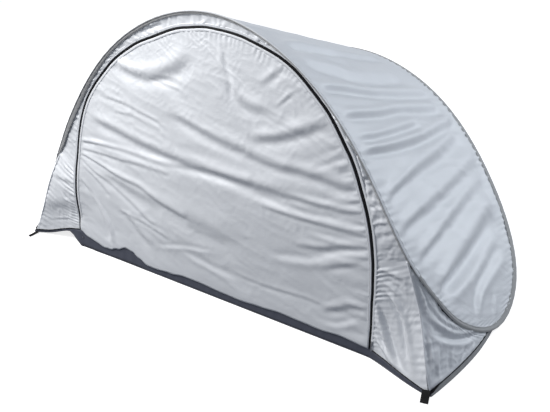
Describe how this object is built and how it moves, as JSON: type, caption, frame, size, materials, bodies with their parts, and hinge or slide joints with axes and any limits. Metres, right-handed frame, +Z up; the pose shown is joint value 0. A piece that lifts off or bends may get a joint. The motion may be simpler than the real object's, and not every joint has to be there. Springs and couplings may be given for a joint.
{
  "type": "pop-up beach tent",
  "caption": "Pop-up beach tent: a sprung hoop in a fabric sleeve carries the roof, a zipped arched door, a rear wall and side gussets over a groundsheet with corner peg loops.",
  "frame": {"origin": "on the ground, under the middle of the whole tent", "axes": "+X to the right of someone facing the door from outside, -Y out of the door, +Z up"},
  "size_m": [2.0002, 1.2643, 1.1074],
  "materials": {
    "silver_cloth": "silver-coated polyester, slightly glossy",
    "grey_tape": "matt grey binding tape",
    "ground_cloth": "dark coated groundsheet cloth",
    "black_webbing": "matt black webbing, piping and zip tape",
    "steel": "plated zip metal"
  },
  "bodies": {
    "shelter": {"corner_seam_front_left": "silver_cloth", "corner_seam_front_right": "silver_cloth", "corner_seam_rear_left": "silver_cloth", "corner_seam_rear_right": "silver_cloth", "front_arch_panel": "silver_cloth", "front_side_panel_left": "silver_cloth", "front_side_panel_right": "silver_cloth", "groundsheet": "ground_cloth", "gusset_front_left": "silver_cloth", "gusset_front_right": "silver_cloth", "gusset_rear_left": "silver_cloth", "gusset_rear_right": "silver_cloth", "hem_binding_left": "black_webbing", "hem_binding_right": "black_webbing", "hoop_piping_left": "black_webbing", "hoop_piping_right": "black_webbing", "hoop_sleeve_front_left": "grey_tape", "hoop_sleeve_front_right": "grey_tape", "hoop_sleeve_rear_left": "grey_tape", "hoop_sleeve_rear_right": "grey_tape", "lip_front": "ground_cloth", "lip_rear": "ground_cloth", "lip_side_left": "ground_cloth", "lip_side_right": "ground_cloth", "peg_loop_front_left": "black_webbing", "peg_loop_front_right": "black_webbing", "peg_loop_rear_left": "black_webbing", "peg_loop_rear_right": "black_webbing", "rear_wall_left": "silver_cloth", "rear_wall_middle": "silver_cloth", "rear_wall_right": "silver_cloth", "roof_panel": "silver_cloth", "side_piping_left": "black_webbing", "side_piping_right": "black_webbing", "zip_slider": "steel", "zip_stop_left": "steel", "zip_stop_right": "steel", "zip_tape_frame": "black_webbing"},
    "door": {"door_panel": "silver_cloth", "zip_tape_door": "black_webbing", "door_hem": "silver_cloth"},
    "zip_puller": {"zip_puller": "steel"}
  },
  "joints": [
    {"name": "door_fold", "type": "hinge", "parent": "shelter", "child": "door", "pos_m": [0, -0.56, 0.04], "axis": [1, 0, 0], "range_deg": [0, 92]},
    {"name": "zip_puller_swing", "type": "hinge", "parent": "shelter", "child": "zip_puller", "pos_m": [0.6854, -0.56656, 0.06628], "axis": [-1, 0, 0], "range_deg": [0, 150]}
  ]
}
